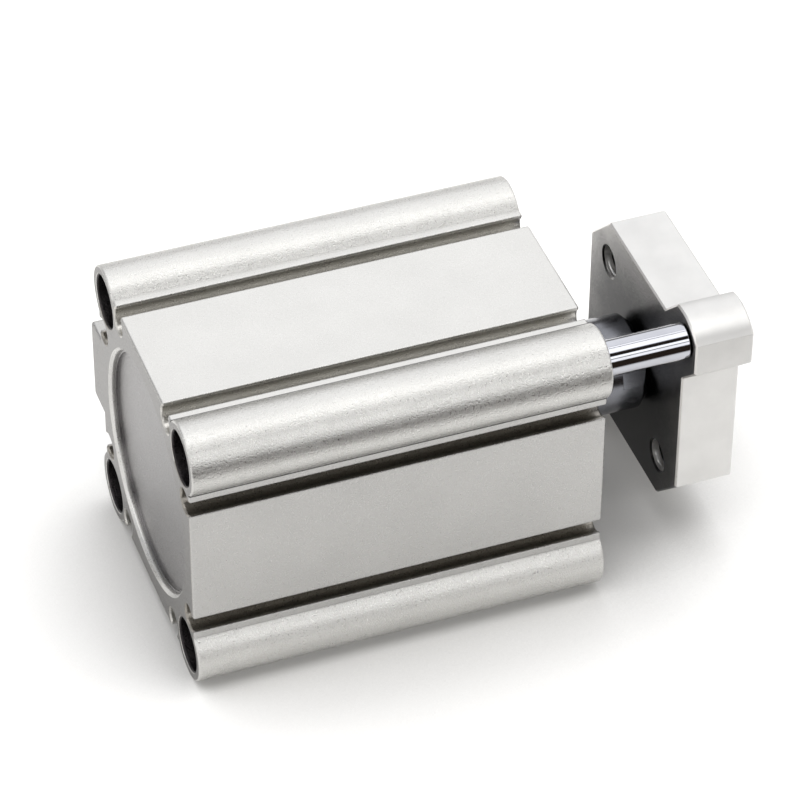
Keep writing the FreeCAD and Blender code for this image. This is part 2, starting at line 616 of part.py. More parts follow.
def end_plate():
    """The load plate with its tapped holes, screw counterbores and rod seats."""
    plate = plate_outline().extrude(Vector(PLATE_T, 0, 0))
    plate = plate.makeChamfer(PLATE_EDGE, end_edges(plate))
    plate.translate(Vector(PLATE_BACK, 0, 0))
    hole = PLATE_HOLE_PCD / 2 / math.sqrt(2)
    for sign in (1, -1):
        plate = drilled(plate, PLATE_BACK, PLATE_FRONT, PLATE_HOLE_D / 2, (sign * hole, sign * hole),
                        HOLE_EDGE, HOLE_EDGE)
    plate = drilled(plate, PLATE_BACK, PLATE_FRONT, ROD_SCREW_D / 2 + SCREW_PLAY)
    plate = drilled(plate, PLATE_BACK, PLATE_BACK + ROD_PILOT_LENGTH, ROD_PILOT_D / 2 + SEAT_FIT)
    plate = drilled(plate, ROD_SCREW_SEAT, PLATE_FRONT, ROD_SCREW_HEAD_D / 2 + HEAD_PLAY,
                    end_edge=HOLE_EDGE)
    for centre in (UPPER_GUIDE, LOWER_GUIDE):
        plate = drilled(plate, PLATE_BACK, PLATE_FRONT, GUIDE_SCREW_D / 2 + SCREW_PLAY, centre)
        plate = drilled(plate, PLATE_BACK, GUIDE_FRONT, GUIDE_SPIGOT_R + SEAT_FIT, centre)
        plate = drilled(plate, GUIDE_SCREW_SEAT, PLATE_FRONT, GUIDE_SCREW_HEAD_D / 2 + HEAD_PLAY,
                        centre, end_edge=HOLE_EDGE)
    return plate


def plate_screw():
    """The screw that holds the end plate to the piston rod."""
    return socket_screw(ROD_SCREW_SEAT, AXIS, ROD_SCREW_D, ROD_SCREW_LENGTH,
                        ROD_SCREW_HEAD_D, ROD_SCREW_HEAD_H, ROD_SCREW_HEX)


# ------------------------------------------------------------------ the assembly
def assembly():
    """Every piece of the cylinder by its name."""
    return {
        "cylinder_tube": cylinder_tube(),
        "head_cover": head_cover(),
        "head_cover_gasket": head_cover_gasket(),
        "rod_cover": rod_cover(),
        "rod_cover_gasket": rod_cover_gasket(),
        "rod_seal": rod_seal(),
        "retaining_ring": retaining_ring(),
        "guide_bush_upper": guide_bush(UPPER_GUIDE),
        "guide_bush_lower": guide_bush(LOWER_GUIDE),
        "piston_rod": piston_rod(),
        "piston": piston(),
        "magnet_holder": magnet_holder(),
        "magnet_ring": magnet_ring(),
        "piston_seal": piston_seal(),
        "wear_ring": wear_ring(),
        "bumper_rod_side": bumper(PISTON_FRONT, ROD_BUMPER, 1),
        "bumper_head_side": bumper(HOLDER_REAR, HEAD_BUMPER, -1),
        "end_plate": end_plate(),
        "plate_screw": plate_screw(),
        "guide_rod_upper": guide_rod(UPPER_GUIDE),
        "guide_rod_lower": guide_rod(LOWER_GUIDE),
        "guide_rod_screw_upper": guide_rod_screw(UPPER_GUIDE),
        "guide_rod_screw_lower": guide_rod_screw(LOWER_GUIDE),
    }


os.makedirs("parts", exist_ok=True)
for name, shape in assembly().items():
    shape.exportStep(f"parts/{name}.step")
    print(f"{name}: {len(shape.Solids)} solid, {shape.Volume:.1f} mm3, valid {shape.isValid()}")
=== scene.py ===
"""Studio scene of a guided compact pneumatic cylinder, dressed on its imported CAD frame.

Positions are in metres in the part's own frame: the origin is the centre of the rear mounting
face, +X runs towards the end plate, +Y towards the air ports and +Z up. Names that end in _mm
are in millimetres.
"""
import logging
import math
from collections.abc import Mapping
from dataclasses import dataclass, field
from enum import Enum
from typing import Any

import bmesh
import bpy
from mathutils import Matrix, Vector


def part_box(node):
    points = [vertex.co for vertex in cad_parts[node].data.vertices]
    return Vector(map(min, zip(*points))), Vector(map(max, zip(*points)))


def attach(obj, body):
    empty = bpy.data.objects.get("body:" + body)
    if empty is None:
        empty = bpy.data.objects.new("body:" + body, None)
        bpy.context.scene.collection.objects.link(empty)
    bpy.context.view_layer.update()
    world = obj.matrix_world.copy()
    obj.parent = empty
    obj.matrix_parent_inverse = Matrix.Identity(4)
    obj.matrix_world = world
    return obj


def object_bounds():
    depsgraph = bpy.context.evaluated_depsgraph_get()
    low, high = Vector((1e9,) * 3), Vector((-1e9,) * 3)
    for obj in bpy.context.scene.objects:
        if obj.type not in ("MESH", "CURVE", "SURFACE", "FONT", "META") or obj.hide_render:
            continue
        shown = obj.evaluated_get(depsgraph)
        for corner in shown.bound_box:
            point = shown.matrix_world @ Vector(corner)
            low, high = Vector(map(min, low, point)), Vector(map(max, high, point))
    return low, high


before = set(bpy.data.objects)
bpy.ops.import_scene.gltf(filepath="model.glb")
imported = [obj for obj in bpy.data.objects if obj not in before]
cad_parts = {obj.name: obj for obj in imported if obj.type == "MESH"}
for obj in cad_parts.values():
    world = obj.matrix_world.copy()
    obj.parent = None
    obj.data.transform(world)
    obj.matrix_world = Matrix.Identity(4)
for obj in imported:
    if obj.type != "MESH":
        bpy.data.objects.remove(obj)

CAD_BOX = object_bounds()
MM = 0.001
ACROSS = (0.0, 1.0, 1.0)        # keeps Y and Z of a place, and drops X
NOISE_SPREAD = {"From Min": 0.3, "From Max": 0.7}       # where nearly all values of a noise lie
LOG = logging.getLogger("scene")


class Body(Enum):
    """The bodies of the frame that a piece can ride on."""

    CYLINDER = "cylinder"
    ROD_AND_PLATE = "rod_and_plate"


class Axis(Enum):
    """The direction that a tapped hole opens in, with the turn that brings +Z onto it."""

    PLUS_X = Matrix.Rotation(math.pi / 2, 4, "Y")
    PLUS_Y = Matrix.Rotation(-math.pi / 2, 4, "X")


# ------------------------------------------------------------------ helpers
def linear(colour: str) -> tuple[float, float, float, float]:
    """Turn an sRGB hex colour into the linear one that shaders take.

    Args:
        colour: six hex digits after a hash sign.

    Returns:
        Linear red, green and blue with an alpha of 1.
    """
    channels = [int(colour[i:i + 2], 16) / 255 for i in (1, 3, 5)]
    values = [c / 12.92 if c <= 0.04045 else ((c + 0.055) / 1.055) ** 2.4 for c in channels]
    return values[0], values[1], values[2], 1.0


def add_node(tree: bpy.types.NodeTree, kind: str, inputs: Mapping[str | int, Any] | None = None,
             **settings: Any) -> bpy.types.Node:
    """Add a node with its settings and what goes into its sockets.

    Args:
        tree: the node tree that takes the node.
        kind: the node's type.
        inputs: a value, or a socket to link from, for each input by name or number.
        settings: the node's own properties.

    Returns:
        The new node.
    """
    node = tree.nodes.new(kind)
    for name, value in settings.items():
        setattr(node, name, value)
    for key, value in (inputs or {}).items():
        if isinstance(value, bpy.types.NodeSocket):
            tree.links.new(value, node.inputs[key])
        else:
            node.inputs[key].default_value = value
    return node


def new_material(name: str) -> tuple[bpy.types.Material, bpy.types.NodeTree]:
    """Make a material with an empty node tree.

    Args:
        name: the material's name.

    Returns:
        The material and its tree.
    """
    material = bpy.data.materials.new(name)
    material.use_nodes = True
    material.node_tree.nodes.clear()
    return material, material.node_tree


def per_mm(size: float) -> float:
    """The texture scale whose features are size millimetres wide."""
    return 1 / (size * MM)


# ------------------------------------------------------------------ finishes
def vary_tone(tree: bpy.types.NodeTree, place: bpy.types.NodeSocket, colour: Any, cloud_mm: float,
              spread: tuple[float, float]) -> bpy.types.NodeSocket:
    """Let a colour drift a little, as a real batch of metal does.

    Args:
        tree: the material's node tree.
        place: the point's coordinates.
        colour: the colour, or the socket that gives it.
        cloud_mm: width of the drifts.
        spread: the darkest and the lightest value, as shares.

    Returns:
        The drifting colour.
    """
    cloud = add_node(tree, "ShaderNodeTexNoise",
                     {"Vector": place, "Scale": per_mm(cloud_mm), "Detail": 3.0})
    dark, light = spread
    value = add_node(tree, "ShaderNodeMapRange",
                     {"Value": cloud.outputs["Fac"], **NOISE_SPREAD, "To Min": dark,
                      "To Max": light})
    return add_node(tree, "ShaderNodeHueSaturation",
                    {"Color": colour, "Value": value.outputs["Result"]}).outputs[0]


@dataclass(frozen=True)
class BodySection:
    """Where the body's section has its edges, in metres. Its four sides and corners are alike."""

    flat: float                     # from the axis to a flat
    crease: float                   # from a flat's middle line to the corner where a lug rises
    hole_offset: float              # from the axis to a corner hole, along Y and along Z
    hole_radius: float              # of a corner hole's mouth


@dataclass(frozen=True)
class BlastedAnodised:
    """Extruded aluminium, bead-blasted and clear anodised.

    The eye gets a satin metal, grainy on the round lugs and smooth on the flats, milled end faces
    with a few dark pits and painted shade, brownish sensor grooves with painted shade (paler,
    painted light where they open up and down), holes made nearly black by painted shade, sideways
    flats darkened by painted shade and a painted shadow line in the corners beside the lugs.
    """

    name: str = "blasted_anodised_extrusion"
    side: str = "#CCCBC8"
    shaded_side_flat: str = "#B5B4B2"      # painted shade: the flats that face sideways are kept darker than those facing up or down
    # the milled finish of the end faces, kept darker as painted shade as well
    end_face: str = "#7A7876"
    # painted shade: the grooves that open sideways are darker, as their recess holds shade
    shaded_side_groove: str = "#928E87"
    lit_face_groove: str = "#C2C0BB"    # painted light: a paler copy for the grooves that open up and down
    # painted shade: the dark line in the corner where a lug rises
    crease: str = "#1E1C1B"
    # painted shade: the corner holes are made nearly black
    drilled: str = "#3A3738"
    pit: str = "#2E2B2A"
    metallic: float = 0.95
    roughness: float = 0.3
    roughness_range: tuple[float, float] = (-0.06, 0.1)     # between low and high grain
    value_range: tuple[float, float] = (0.97, 1.02)         # of the slow change in tone
    cloud_mm: float = 9.0
    grain_mm: float = 0.27          # bead marks are finer; this is as coarse as they need to show
    grain_height_mm: float = 0.09   # on the round lugs, which take the beads at every angle
    flat_grain_height_mm: float = 0.015
    end_facing: float = 0.95        # least share of X in the normal of an end face
    bore_radius_mm: float = 22.3    # nothing within this of the axis is a sensor groove
    groove_start_mm: tuple[float, float] = (0.1, 0.4)       # below the flat, where the grooves' painted shade and light start
    pit_spacing_mm: float = 0.9
    pit_mm: float = 0.07
    crease_mm: float = 0.22         # half width of the painted shadow line in the corner beside a lug
    crease_shade_fade: tuple[float, float] = (1.4, 0.6)           # of that half width
    crease_shade_depth: float = 0.95      # how dark the painted shadow line is
    bolt_crease_shade: float = 0.15       # share of that painted shadow beside the lugs that hold bolts, where more light falls
    edge_mm: float = 0.3            # broken edge

    def find_regions(self, tree: bpy.types.NodeTree, coords: bpy.types.Node,
                     body: BodySection) -> dict[str, bpy.types.NodeSocket]:
        """Work out which part of the extrusion a point is on.

        Args:
            tree: the material's node tree.
            coords: its texture coordinate node.
            body: the section's edges.

        Returns:
            Sockets that are 1 on the end faces, in the grooves, in the corner holes, on the lugs,
            on what faces up or down more than sideways, on all that isn't a sideways flat, and in
            the corners beside the lugs.
        """
        place = coords.outputs["Object"]
        normal = add_node(tree, "ShaderNodeSeparateXYZ", {0: coords.outputs["Normal"]})
        along = add_node(tree, "ShaderNodeMath", {0: normal.outputs["X"]}, operation="ABSOLUTE")
        end = add_node(tree, "ShaderNodeMath", {0: along.outputs[0], 1: self.end_facing},
                       operation="GREATER_THAN")

        mirrored = add_node(tree, "ShaderNodeVectorMath", {0: place}, operation="ABSOLUTE")
        section = add_node(tree, "ShaderNodeSeparateXYZ", {0: mirrored.outputs[0]})
        beside, above = section.outputs["Y"], section.outputs["Z"]
        upright = add_node(tree, "ShaderNodeMath", {0: above, 1: beside},
                           operation="GREATER_THAN")
        reach = add_node(tree, "ShaderNodeMath", {0: beside, 1: above}, operation="MAXIMUM")
        aside = add_node(tree, "ShaderNodeMath", {0: beside, 1: above}, operation="MINIMUM")
        lug = add_node(tree, "ShaderNodeMath", {0: aside.outputs[0], 1: body.crease},
                       operation="GREATER_THAN")

        sideways = add_node(tree, "ShaderNodeVectorMath", {0: place, 1: ACROSS},
                            operation="MULTIPLY")
        off_axis = add_node(tree, "ShaderNodeVectorMath", {0: sideways.outputs[0]},
                            operation="LENGTH")
        bore = add_node(tree, "ShaderNodeMath",
                        {0: off_axis.outputs["Value"], 1: self.bore_radius_mm * MM},
                        operation="LESS_THAN")
        round_wall = add_node(tree, "ShaderNodeMath", {0: bore.outputs[0], 1: lug.outputs[0]},
                              operation="MAXIMUM")
        not_side = add_node(tree, "ShaderNodeMath",
                            {0: upright.outputs[0], 1: round_wall.outputs[0]},
                            operation="MAXIMUM")

        start, full = self.groove_start_mm
        inside = add_node(tree, "ShaderNodeMapRange",
                          {"Value": reach.outputs[0], "From Min": body.flat - start * MM,
                           "From Max": body.flat - full * MM})
        groove = add_node(tree, "ShaderNodeMath",
                          {0: inside.outputs["Result"], 1: bore.outputs[0]},
                          operation="SUBTRACT", use_clamp=True)

        from_hole = add_node(tree, "ShaderNodeVectorMath",
                             {0: mirrored.outputs[0],
                              1: (0.0, body.hole_offset, body.hole_offset)},
                             operation="SUBTRACT")
        across = add_node(tree, "ShaderNodeVectorMath", {0: from_hole.outputs[0], 1: ACROSS},
                          operation="MULTIPLY")
        radius = add_node(tree, "ShaderNodeVectorMath", {0: across.outputs[0]},
                          operation="LENGTH")
        hole = add_node(tree, "ShaderNodeMath",
                        {0: radius.outputs["Value"], 1: body.hole_radius},
                        operation="LESS_THAN")

        corner = add_node(tree, "ShaderNodeCombineXYZ",
                          {"X": reach.outputs[0], "Y": aside.outputs[0]})
        off_corner = add_node(tree, "ShaderNodeVectorMath",
                              {0: corner.outputs[0], 1: (body.flat, body.crease, 0.0)},
                              operation="DISTANCE")
        # Painted shadow: a dark line along the corner where a lug rises from a flat
        far, near = self.crease_shade_fade
        line = add_node(tree, "ShaderNodeMapRange",
                        {"Value": off_corner.outputs["Value"],
                         "From Min": far * self.crease_mm * MM,
                         "From Max": near * self.crease_mm * MM, "To Max": self.crease_shade_depth})
        # The bolts' lugs are those where Y and Z have the same sign; their corners get less
        # painted shadow
        axes = add_node(tree, "ShaderNodeSeparateXYZ", {0: place})
        diagonal = add_node(tree, "ShaderNodeMath",
                            {0: axes.outputs["Y"], 1: axes.outputs["Z"]}, operation="MULTIPLY")
        at_bolt = add_node(tree, "ShaderNodeMath", {0: diagonal.outputs[0], 1: 0.0},
                           operation="GREATER_THAN")
        share = add_node(tree, "ShaderNodeMix",
                         {0: at_bolt.outputs[0], 2: 1.0, 3: self.bolt_crease_shade}, data_type="FLOAT")
        crease = add_node(tree, "ShaderNodeMath",
                          {0: line.outputs["Result"], 1: share.outputs[0]},
                          operation="MULTIPLY")
        found = {"end": end, "groove": groove, "hole": hole, "lug": lug, "upright": upright,
                 "not_side": not_side, "crease": crease}
        return {region: node.outputs[0] for region, node in found.items()}

    def add_colour(self, tree: bpy.types.NodeTree, place: bpy.types.NodeSocket,
                   regions: Mapping[str, bpy.types.NodeSocket]) -> bpy.types.NodeSocket:
        """Lay the colours of the regions over each other.

        Args:
            tree: the material's node tree.
            place: the point's coordinates.
            regions: the sockets of find_regions.

        Returns:
            The colour.
        """
        cells = add_node(tree, "ShaderNodeTexVoronoi",
                         {"Vector": place, "Scale": per_mm(self.pit_spacing_mm),
                          "Randomness": 1.0})
        pitted = add_node(tree, "ShaderNodeMath",
                          {0: cells.outputs["Distance"], 1: self.pit_mm / self.pit_spacing_mm},
                          operation="LESS_THAN")
        pits = add_node(tree, "ShaderNodeMath", {0: pitted.outputs[0], 1: regions["end"]},
                        operation="MULTIPLY")
        # Painted shade in the sideways grooves, painted light in those that open up and down
        groove = add_node(tree, "ShaderNodeMix",
                          {0: regions["upright"], 6: linear(self.shaded_side_groove),
                           7: linear(self.lit_face_groove)}, data_type="RGBA")
        # The groove tones, the near black of the holes and the corner lines are painted shade, the
        # paler upright grooves painted light; the pits are real
        layers = ((regions["not_side"], linear(self.side)),
                  (regions["groove"], groove.outputs[2]),
                  (regions["end"], linear(self.end_face)),
                  (regions["hole"], linear(self.drilled)),
                  (pits.outputs[0], linear(self.pit)),
                  (regions["crease"], linear(self.crease)))
        # Start from the sideways flats' painted shade; the layers below cover the rest
        colour: Any = linear(self.shaded_side_flat)
        for region, over in layers:
            colour = add_node(tree, "ShaderNodeMix", {0: region, 6: colour, 7: over},
                              data_type="RGBA").outputs[2]
        return vary_tone(tree, place, colour, self.cloud_mm, self.value_range)

    def material(self, body: BodySection) -> bpy.types.Material:
        """Make the material.

        Args:
            body: the section's edges.

        Returns:
            The material.
        """
        material, tree = new_material(self.name)
        coords = add_node(tree, "ShaderNodeTexCoord")
        place = coords.outputs["Object"]
        regions = self.find_regions(tree, coords, body)
        colour = self.add_colour(tree, place, regions)
        grain = add_node(tree, "ShaderNodeTexNoise",
                         {"Vector": place, "Scale": per_mm(self.grain_mm), "Detail": 2.0,
                          "Roughness": 0.6})
        low, high = self.roughness_range
        roughness = add_node(tree, "ShaderNodeMapRange",
                             {"Value": grain.outputs["Fac"], **NOISE_SPREAD,
                              "To Min": self.roughness + low, "To Max": self.roughness + high})
        height = add_node(tree, "ShaderNodeMix",
                          {0: regions["lug"], 2: self.flat_grain_height_mm * MM,
                           3: self.grain_height_mm * MM}, data_type="FLOAT")
        edges = add_node(tree, "ShaderNodeBevel", {"Radius": self.edge_mm * MM}, samples=6)
        bump = add_node(tree, "ShaderNodeBump",
                        {"Height": grain.outputs["Fac"], "Strength": 1.0,
                         "Distance": height.outputs[0], "Normal": edges.outputs[0]})
        shader = add_node(tree, "ShaderNodeBsdfPrincipled",
                          {"Base Color": colour, "Metallic": self.metallic,
                           "Roughness": roughness.outputs["Result"], "Normal": bump.outputs[0]})
        add_node(tree, "ShaderNodeOutputMaterial", {"Surface": shader.outputs[0]})
        return material


@dataclass(frozen=True)
class MetalFinish:
    """A metal with one colour, a fine grain and, where it is turned, rings round the X axis.

    The eye gets an even metal whose sheen breaks up in the grain, and rings that catch light.
    Where a rear colour is given, the milled faces towards -X take it, darkened by painted shade
    close to parts.
    """

    name: str
    colour: str
    roughness: float
    roughness_range: tuple[float, float] = (0.85, 1.2)      # share of it at low and high grain
    value_range: tuple[float, float] = (0.94, 1.03)         # of the slow change in tone
    cloud_mm: float = 6.0
    grain_mm: float = 0.2
    grain_height_mm: float = 0.002
    ring_mm: float = 0.0            # spacing of tool marks, 0 where the surface isn't turned
    ring_height_mm: float = 0.001
    edge_mm: float = 0.1
    rear: str = ""                  # colour of the faces towards -X, where they differ
    rear_facing: float = -0.6       # greatest X in the normal of such a face
    rear_roughness: float = 0.34
    rear_reach_mm: float = 30.0     # a part this close in front of the rear face brings painted shade onto it
    rear_open: tuple[float, float] = (0.42, 0.6)            # how open it is, from the deepest painted shade to none
    # share of the rear colour left in the deepest painted shade
    rear_darkest_shade: float = 0.02

    def add_rear_face(self, tree: bpy.types.NodeTree, coords: bpy.types.Node
                      ) -> tuple[bpy.types.NodeSocket, bpy.types.NodeSocket]:
        """Find the faces towards -X, and give them a colour that painted shade darkens where parts
        stand close.

        Args:
            tree: the material's node tree.
            coords: its texture coordinate node.

        Returns:
            A socket that is 1 on those faces, and their colour.
        """
        normal = add_node(tree, "ShaderNodeSeparateXYZ", {0: coords.outputs["Normal"]})
        backward = add_node(tree, "ShaderNodeMath",
                            {0: normal.outputs["X"], 1: self.rear_facing},
                            operation="LESS_THAN")
        # Painted shade: the ambient occlusion of parts in front darkens the rear colour
        openness = add_node(tree, "ShaderNodeAmbientOcclusion",
                            {"Distance": self.rear_reach_mm * MM}, samples=8)
        dim, bright = self.rear_open
        dimmed = add_node(tree, "ShaderNodeMapRange",
                          {"Value": openness.outputs["AO"], "From Min": dim,
                           "From Max": bright, "To Min": self.rear_darkest_shade})
        milled = add_node(tree, "ShaderNodeHueSaturation",
                          {"Color": linear(self.rear), "Value": dimmed.outputs["Result"]})
        return backward.outputs[0], milled.outputs[0]

    def material(self) -> bpy.types.Material:
        """Make the material.

        Returns:
            The material.
        """
        material, tree = new_material(self.name)
        coords = add_node(tree, "ShaderNodeTexCoord")
        place = coords.outputs["Object"]
        grain = add_node(tree, "ShaderNodeTexNoise",
                         {"Vector": place, "Scale": per_mm(self.grain_mm), "Detail": 2.0})
        low, high = self.roughness_range
        roughness = add_node(tree, "ShaderNodeMapRange",
                             {"Value": grain.outputs["Fac"], **NOISE_SPREAD,
                              "To Min": self.roughness * low,
                              "To Max": self.roughness * high}).outputs["Result"]
        base: Any = linear(self.colour)
        if self.rear:
            backward, milled = self.add_rear_face(tree, coords)
            base = add_node(tree, "ShaderNodeMix", {0: backward, 6: base, 7: milled},
                            data_type="RGBA").outputs[2]
            roughness = add_node(tree, "ShaderNodeMix",
                                 {0: backward, 2: roughness, 3: self.rear_roughness},
                                 data_type="FLOAT").outputs[0]
        colour = vary_tone(tree, place, base, self.cloud_mm, self.value_range)
        edges = add_node(tree, "ShaderNodeBevel", {"Radius": self.edge_mm * MM}, samples=6)
        bump = add_node(tree, "ShaderNodeBump",
                        {"Height": grain.outputs["Fac"], "Distance": self.grain_height_mm * MM,
                         "Normal": edges.outputs[0]})
        if self.ring_mm:
            # One wave of the texture is 2 pi / 20 of its own unit
            rings = add_node(tree, "ShaderNodeTexWave",
                             {"Vector": place, "Scale": per_mm(self.ring_mm) * math.pi / 10},
                             wave_type="RINGS", rings_direction="X")
            bump = add_node(tree, "ShaderNodeBump",
                            {"Height": rings.outputs["Fac"],
                             "Distance": self.ring_height_mm * MM, "Normal": bump.outputs[0]})
        shader = add_node(tree, "ShaderNodeBsdfPrincipled",
                          {"Base Color": colour, "Metallic": 1.0, "Roughness": roughness,
                           "Normal": bump.outputs[0]})
        add_node(tree, "ShaderNodeOutputMaterial", {"Surface": shader.outputs[0]})
        return material


@dataclass(frozen=True)
class MouldedFinish:
    """Moulded rubber or plastic, or pressed ferrite: no metal, with a fine matt grain."""

    name: str
    colour: str
    roughness: float
    value_range: tuple[float, float] = (0.85, 1.1)          # of the tone, from grain to grain
    grain_mm: float = 0.15
    grain_height_mm: float = 0.004

    def material(self) -> bpy.types.Material:
        """Make the material.

        Returns:
            The material.
        """
        material, tree = new_material(self.name)
        place = add_node(tree, "ShaderNodeTexCoord").outputs["Object"]
        grain = add_node(tree, "ShaderNodeTexNoise",
                         {"Vector": place, "Scale": per_mm(self.grain_mm), "Detail": 3.0})
        dark, light = self.value_range
        value = add_node(tree, "ShaderNodeMapRange",
                         {"Value": grain.outputs["Fac"], **NOISE_SPREAD, "To Min": dark,
                          "To Max": light})
        colour = add_node(tree, "ShaderNodeHueSaturation",
                          {"Color": linear(self.colour), "Value": value.outputs["Result"]})
        bump = add_node(tree, "ShaderNodeBump",
                        {"Height": grain.outputs["Fac"], "Distance": self.grain_height_mm * MM})
        shader = add_node(tree, "ShaderNodeBsdfPrincipled",
                          {"Base Color": colour.outputs[0], "Roughness": self.roughness,
                           "Normal": bump.outputs[0]})
        add_node(tree, "ShaderNodeOutputMaterial", {"Surface": shader.outputs[0]})
        return material


# Turned and clear anodised: fine rings round the axis stretch each highlight into a fan
TURNED_ALUMINIUM = MetalFinish("turned_anodised_aluminium", "#828080", 0.30, grain_mm=0.3,
                               ring_mm=0.25, ring_height_mm=0.0008)
# Blasted and clear anodised: an even, pale satin, with painted shade on the milled rear face
PLATE_ALUMINIUM = MetalFinish("blasted_anodised_plate", "#D4D3D1", 0.42, grain_mm=0.15,
                              rear="#DFDCD9")
# Ground and hard chromed: close to a mirror, so that it shows the surroundings as sharp lines
HARD_CHROME = MetalFinish("ground_hard_chrome", "#B4B5BB", 0.07, grain_height_mm=0.0001)
# The same chrome under a film of oil: darker, with soft reflections
SATIN_CHROME = MetalFinish("satin_hard_chrome", "#77787D", 0.2, grain_height_mm=0.0006)
# Sintered and full of oil: a warm, porous metal without sharp reflections
SINTERED_BRONZE = MetalFinish("sintered_bronze", "#B08D57", 0.38, grain_mm=0.25)
# Phosphated: a dark grey coat with a dull sheen
PHOSPHATED_STEEL = MetalFinish("phosphated_spring_steel", "#4B4A4C", 0.42, grain_mm=0.2)
# Nickel plated: a slightly warm, bright metal
NICKEL_STEEL = MetalFinish("nickel_plated_steel", "#C9C6BE", 0.25, grain_mm=0.3)
# Moulded rubber: nearly black and matt
NITRILE = MouldedFinish("moulded_nitrile_rubber", "#1D1C1C", 0.55)
# Moulded plastic band: ivory, with a little sheen
GUIDE_BAND = MouldedFinish("moulded_guide_band", "#D8D5C8", 0.45)
# Pressed ferrite: charcoal grey and dry
FERRITE = MouldedFinish("pressed_ferrite", "#2B2A2B", 0.6, grain_mm=0.1)
# Moulded urethane: blue, with a satin skin
URETHANE = MouldedFinish("moulded_urethane", "#2F5C8F", 0.35)


# ------------------------------------------------------------------ pieces
def dress(node: str, material: bpy.types.Material) -> None:
    """Give a CAD node its finish and smooth shading within each of its faces.

    Args:
        node: the node's name in the frame.
        material: the finish.
    """
    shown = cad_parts[node]
    shown.data.materials.clear()
    shown.data.materials.append(material)
    shown.data.polygons.foreach_set("use_smooth", [True] * len(shown.data.polygons))
    LOG.info("dressed %s in %s", node, material.name)


@dataclass
class InternalThread:
    """The crests of a tapped hole, as one helical ridge round its wall."""

    name: str
    mouth: Vector                   # in metres
    opens: Axis
    radius_mm: float
    pitch_mm: float
    length_mm: float
    height_mm: float
    start_mm: float = 0.9           # from the mouth to the first turn
    root_mm: float = 0.05           # how far the ridge reaches into the wall
    root_share: float = 0.42        # half widths of the ridge, as shares of the pitch
    crest_share: float = 0.06
    least_rise: float = 0.02        # of the height, where the ridge starts and ends
    steps: int = 48                 # points in one turn

    def build(self, material: bpy.types.Material, body: Body, slot: str) -> bpy.types.Object:
        """Build the ridge and let it ride on its body.

        Args:
            material: the finish of the hole's wall.
            body: the body that carries the hole.
            slot: the record's material slot of that body's node; not used.

        Returns:
            The new piece.
        """
        shape = bmesh.new()
        turns = self.length_mm / self.pitch_mm
        foot = self.radius_mm + self.root_mm
        wide, narrow = self.root_share * self.pitch_mm, self.crest_share * self.pitch_mm
        count = round(turns * self.steps)
        rows = []
        for index in range(count + 1):
            angle = math.tau * index / self.steps
            depth = self.start_mm + self.pitch_mm * index / self.steps
            # The ridge rises and runs out over its first and last half turn
            rise = min(1.0, 2 * index / self.steps, 2 * (count - index) / self.steps)
            crest = self.radius_mm - self.height_mm * max(rise, self.least_rise)
            profile = [(foot, wide), (crest, narrow), (crest, -narrow), (foot, -wide)]
            rows.append([shape.verts.new(Vector((r * math.cos(angle), r * math.sin(angle),
                                                 offset - depth)) * MM)
                         for r, offset in profile])
        for row, following in zip(rows, rows[1:]):
            for corner in range(4):
                after = (corner + 1) % 4
                shape.faces.new((row[corner], row[after], following[after], following[corner]))
        shape.faces.new(rows[0][::-1])
        shape.faces.new(rows[-1])
        bmesh.ops.recalc_face_normals(shape, faces=shape.faces)
        shape.transform(Matrix.Translation(self.mouth) @ self.opens.value)
        mesh = bpy.data.meshes.new(self.name)
        shape.to_mesh(mesh)
        shape.free()
        mesh.materials.append(material)
        piece = bpy.data.objects.new(self.name, mesh)
        bpy.context.scene.collection.objects.link(piece)
        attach(piece, body.value)
        LOG.info("built %s with %.1f turns", self.name, turns)
        return piece


@dataclass
class CylinderBody:
    """The extruded body with its covers, seals, bushes and tapped ports."""

    lug_rise_mm: float = 2.25       # of a lug above the flats
    crease_mm: float = 15.29
    hole_offset_mm: float = 20.0
    hole_radius_mm: float = 4.7
    port_radius_mm: float = 4.3
    port_pitch_mm: float = 0.907
    port_thread_mm: float = 5.4
    port_ridge_mm: float = 0.35
    port_places_mm: tuple[float, float] = (10.3, 55.0)      # along X
    finish: BlastedAnodised = field(default_factory=BlastedAnodised)

    def section(self) -> BodySection:
        """The edges of the section that the finish follows."""
        lug_top = -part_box("cylinder_tube")[0].z
        return BodySection(flat=lug_top - self.lug_rise_mm * MM, crease=self.crease_mm * MM,
                           hole_offset=self.hole_offset_mm * MM,
                           hole_radius=self.hole_radius_mm * MM)

    def dress(self) -> None:
        """Give every fixed piece its finish."""
        tube = self.finish.material(self.section())
        turned = TURNED_ALUMINIUM.material()
        rubber = NITRILE.material()
        bronze = SINTERED_BRONZE.material()
        dress("cylinder_tube", tube)
        for node in ("head_cover", "rod_cover"):
            dress(node, turned)
        for node in ("head_cover_gasket", "rod_cover_gasket", "rod_seal"):
            dress(node, rubber)
        for node in ("guide_bush_upper", "guide_bush_lower"):
            dress(node, bronze)
        dress("retaining_ring", PHOSPHATED_STEEL.material())
        self.add_port_threads(tube)

    def add_port_threads(self, material: bpy.types.Material) -> None:
        """Cut the look of a taper pipe thread into both ports.

        Args:
            material: the body's finish.
        """
        boss_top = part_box("cylinder_tube")[1].y
        for name, place_mm in zip(("rear", "front"), self.port_places_mm):
            thread = InternalThread(f"port_thread_{name}", Vector((place_mm * MM, boss_top, 0.0)),
                                    Axis.PLUS_Y, radius_mm=self.port_radius_mm,
                                    pitch_mm=self.port_pitch_mm, length_mm=self.port_thread_mm,
                                    height_mm=self.port_ridge_mm)
            thread.build(material, Body.CYLINDER, "anodised_extrusion")


